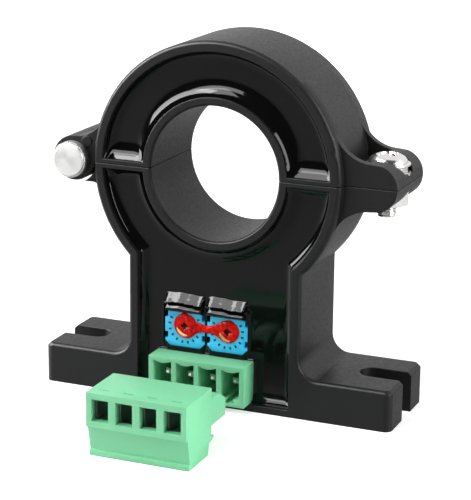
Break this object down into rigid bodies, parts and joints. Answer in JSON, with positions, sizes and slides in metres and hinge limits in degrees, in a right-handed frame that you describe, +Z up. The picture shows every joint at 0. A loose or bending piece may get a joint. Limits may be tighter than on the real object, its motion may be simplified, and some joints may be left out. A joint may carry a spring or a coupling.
{
  "type": "current sensor",
  "caption": "Split-core current sensor: a hinged black ring on a slotted foot, potted front with trimmers and a green terminal header, loose plug in front.",
  "frame": {"origin": "on the mounting face, under the bore axis, at mid depth of the housing", "axes": "+X along the base towards the clamp screw, +Z up from the mounting face, -Y towards the potted front"},
  "size_m": [0.0584, 0.043, 0.0573],
  "materials": {
    "black_plastic": "satin black moulded plastic",
    "potting_resin": "glossy black cast resin",
    "core_steel": "dark wound core steel",
    "nickel_steel": "bright nickel plated steel",
    "knurled_screw": "bright steel with a knurled rim",
    "chip_plastic": "matt black package",
    "tinned_metal": "tinned copper alloy",
    "board_laminate": "green board laminate",
    "header_green": "green moulded plastic",
    "plug_green": "green moulded plastic",
    "trimmer_blue": "bright blue moulded plastic",
    "rotor_brass": "brass rotor",
    "red_lacquer": "clear red sealing lacquer"
  },
  "bodies": {
    "base": {"base_housing": "black_plastic", "base_core_left": "core_steel", "base_core_right": "core_steel", "base_filling": "potting_resin", "hall_package": "chip_plastic", "hall_lead_1": "tinned_metal", "hall_lead_2": "tinned_metal", "hall_lead_3": "tinned_metal", "circuit_board": "board_laminate", "amplifier_chip": "chip_plastic", "header_housing": "header_green", "header_pin_1": "tinned_metal", "header_pin_2": "tinned_metal", "header_pin_3": "tinned_metal", "header_pin_4": "tinned_metal", "trimmer_left": "trimmer_blue", "trimmer_right": "trimmer_blue", "trimmer_rotor_left": "rotor_brass", "trimmer_rotor_right": "rotor_brass", "sealing_lacquer": "red_lacquer", "clamp_nut": "nickel_steel", "plug_housing": "plug_green", "plug_contact_1": "tinned_metal", "plug_contact_2": "tinned_metal", "plug_contact_3": "tinned_metal", "plug_contact_4": "tinned_metal"},
    "cap": {"cap_housing": "black_plastic", "cap_core": "core_steel", "cap_filling": "potting_resin", "clamp_washer": "nickel_steel"},
    "clamp_screw": {"clamp_screw": "nickel_steel"},
    "hinge_screw": {"hinge_screw": "knurled_screw"},
    "plug_screw_1": {"plug_screw_1": "nickel_steel"},
    "plug_clamp_1": {"plug_clamp_1": "nickel_steel"},
    "plug_screw_2": {"plug_screw_2": "nickel_steel"},
    "plug_clamp_2": {"plug_clamp_2": "nickel_steel"},
    "plug_screw_3": {"plug_screw_3": "nickel_steel"},
    "plug_clamp_3": {"plug_clamp_3": "nickel_steel"},
    "plug_screw_4": {"plug_screw_4": "nickel_steel"},
    "plug_clamp_4": {"plug_clamp_4": "nickel_steel"}
  },
  "joints": [
    {"name": "cap_hinge", "type": "hinge", "parent": "base", "child": "cap", "pos_m": [-0.0244, 0, 0.037], "axis": [0, -1, 0], "range_deg": [0, 110]},
    {"name": "clamp_screw_draw", "type": "slide", "parent": "cap", "child": "clamp_screw", "axis": [0, 0, 1], "range_m": [0, 0.0065]},
    {"name": "hinge_screw_turn", "type": "hinge", "parent": "cap", "child": "hinge_screw", "pos_m": [-0.0244, -0.007, 0.037], "axis": [0, -1, 0], "continuous": true},
    {"name": "plug_screw_1_turn", "type": "hinge", "parent": "base", "child": "plug_screw_1", "pos_m": [-0.00587, -0.0318, 0.002], "axis": [0, 0, 1], "range_deg": [0, 1440]},
    {"name": "plug_clamp_1_slide", "type": "slide", "parent": "base", "child": "plug_clamp_1", "axis": [0, 0, -1], "range_m": [0, 0.0016]},
    {"name": "plug_screw_2_turn", "type": "hinge", "parent": "base", "child": "plug_screw_2", "pos_m": [-0.00205, -0.0318, 0.002], "axis": [0, 0, 1], "range_deg": [0, 1440]},
    {"name": "plug_clamp_2_slide", "type": "slide", "parent": "base", "child": "plug_clamp_2", "axis": [0, 0, -1], "range_m": [0, 0.0016]},
    {"name": "plug_screw_3_turn", "type": "hinge", "parent": "base", "child": "plug_screw_3", "pos_m": [0.00175, -0.0318, 0.002], "axis": [0, 0, 1], "range_deg": [0, 1440]},
    {"name": "plug_clamp_3_slide", "type": "slide", "parent": "base", "child": "plug_clamp_3", "axis": [0, 0, -1], "range_m": [0, 0.0016]},
    {"name": "plug_screw_4_turn", "type": "hinge", "parent": "base", "child": "plug_screw_4", "pos_m": [0.00557, -0.0318, 0.002], "axis": [0, 0, 1], "range_deg": [0, 1440]},
    {"name": "plug_clamp_4_slide", "type": "slide", "parent": "base", "child": "plug_clamp_4", "axis": [0, 0, -1], "range_m": [0, 0.0016]}
  ],
  "couplings": [
    {"joint": "plug_screw_1_turn", "follows": "plug_clamp_1_slide", "rad_per_m": 15708},
    {"joint": "plug_screw_2_turn", "follows": "plug_clamp_2_slide", "rad_per_m": 15708},
    {"joint": "plug_screw_3_turn", "follows": "plug_clamp_3_slide", "rad_per_m": 15708},
    {"joint": "plug_screw_4_turn", "follows": "plug_clamp_4_slide", "rad_per_m": 15708}
  ]
}
